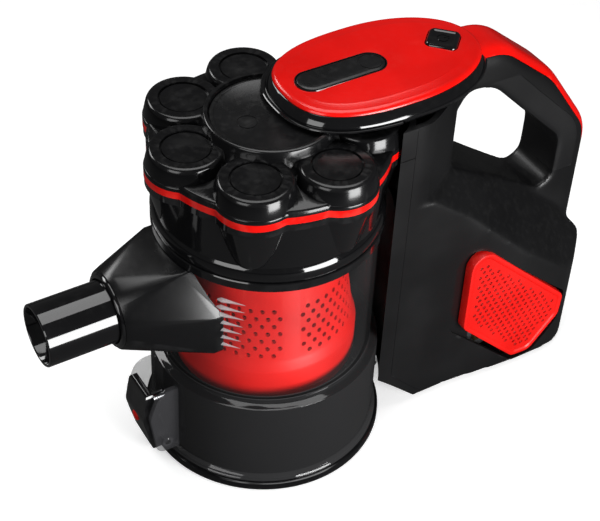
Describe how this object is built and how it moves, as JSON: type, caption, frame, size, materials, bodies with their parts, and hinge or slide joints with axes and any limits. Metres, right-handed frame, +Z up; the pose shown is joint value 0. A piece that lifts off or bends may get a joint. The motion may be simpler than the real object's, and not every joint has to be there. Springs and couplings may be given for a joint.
{
  "type": "handheld vacuum",
  "caption": "Handheld cyclonic vacuum: clear dust bin with a lobed cyclone cap and inlet tube, docked to a motor body with a closed handle.",
  "frame": {"origin": "centre of the bin's base, on the surface that the vacuum stands on", "axes": "+X from the bin towards the handle, with the inlet tube pointing to -X; +Z up along the bin's axis; +Y to the user's right when the tube points ahead"},
  "size_m": [0.331, 0.1316, 0.216],
  "materials": {
    "smoky_clear": "clear smoky plastic, gloss",
    "gloss_black": "high gloss black plastic",
    "satin_black": "fine satin black plastic",
    "red_gloss": "glossy red plastic",
    "red_satin": "satin red plastic",
    "grey_plastic": "plain moulded plastic",
    "black_rubber": "soft black rubber",
    "grey_foam": "open cell foam",
    "white_filter": "pleated filter felt",
    "bright_steel": "bright steel",
    "motor_steel": "plated sheet steel",
    "fan_aluminium": "pressed aluminium",
    "brass": "brass and copper",
    "carbon": "pressed carbon"
  },
  "bodies": {
    "body": {"left_shell": "satin_black", "right_shell": "satin_black", "front_column": "satin_black", "bin_pivot_pin": "bright_steel", "top_rim": "gloss_black", "top_cover": "red_gloss", "grip_insert": "satin_black", "left_grille": "red_satin", "right_grille": "red_satin", "left_exhaust_filter": "white_filter", "right_exhaust_filter": "white_filter", "air_duct": "grey_plastic", "motor_frame": "motor_steel", "motor_field": "motor_steel", "fan_cover": "fan_aluminium", "lower_bearing": "bright_steel", "upper_bearing": "bright_steel", "brush_holders": "brass", "carbon_brushes": "carbon", "lower_motor_mount": "black_rubber", "upper_motor_mount": "black_rubber", "power_switch": "grey_plastic", "power_spring": "bright_steel", "release_spring": "bright_steel", "shell_screws": "bright_steel", "rubber_feet": "black_rubber", "cord_gland": "black_rubber"},
    "bin": {"bin_container": "smoky_clear", "door_hinge_pin": "bright_steel", "latch_pin": "bright_steel", "latch_spring": "bright_steel", "inlet_duct": "gloss_black", "inlet_tube": "gloss_black", "inlet_seal": "black_rubber", "bin_top_seal": "black_rubber", "cyclone_shroud": "red_satin", "cyclone_plate": "satin_black", "cyclone_cones": "grey_plastic", "vortex_plate": "grey_plastic", "cap_housing": "gloss_black", "cap_stripe": "red_gloss", "cap_cover": "satin_black", "centre_lid": "satin_black", "pre_filter": "grey_foam", "outlet_seal": "black_rubber"},
    "door": {"bin_door": "gloss_black", "door_seal": "black_rubber"},
    "latch": {"latch_lever": "gloss_black"},
    "rotor": {"armature_shaft": "bright_steel", "armature_core": "motor_steel", "commutator": "brass", "impeller": "fan_aluminium"},
    "power_key": {"power_button": "satin_black"},
    "release_key": {"release_button": "gloss_black"},
    "catch": {"release_catch": "grey_plastic"}
  },
  "joints": [
    {"name": "bin_tilt", "type": "hinge", "parent": "body", "child": "bin", "pos_m": [0.07, 0, 0.03], "axis": [0, -1, 0], "range_deg": [0, 15]},
    {"name": "door_open", "type": "hinge", "parent": "bin", "child": "door", "pos_m": [0.0685, 0, 0.007], "axis": [0, -1, 0], "range_deg": [0, 82]},
    {"name": "latch_press", "type": "hinge", "parent": "bin", "child": "latch", "pos_m": [-0.0675, 0, 0.017], "axis": [0, 1, 0], "range_deg": [0, 7], "stiffness_Nm_per_rad": 0.3, "springref_deg": -2.86, "deforming": ["latch_spring"]},
    {"name": "rotor_spin", "type": "hinge", "parent": "body", "child": "rotor", "pos_m": [0.128, 0, 0.05], "axis": [0, 0, 1], "continuous": true},
    {"name": "power_press", "type": "slide", "parent": "body", "child": "power_key", "axis": [0, 0, -1], "range_m": [0, 0.0015], "stiffness_N_per_m": 400, "springref_m": -0.0005, "deforming": ["power_spring"]},
    {"name": "release_press", "type": "hinge", "parent": "body", "child": "release_key", "pos_m": [0.022, 0, 0.2126], "axis": [0, 1, 0], "range_deg": [0, 2.5], "stiffness_Nm_per_rad": 0.5, "springref_deg": -0.57, "deforming": ["release_spring"]},
    {"name": "catch_turn", "type": "hinge", "parent": "body", "child": "catch", "pos_m": [0.053, 0, 0.2021], "axis": [0, 1, 0], "range_deg": [0, 14]}
  ],
  "couplings": [
    {"joint": "catch_turn", "follows": "release_press", "ratio": 5.43}
  ]
}
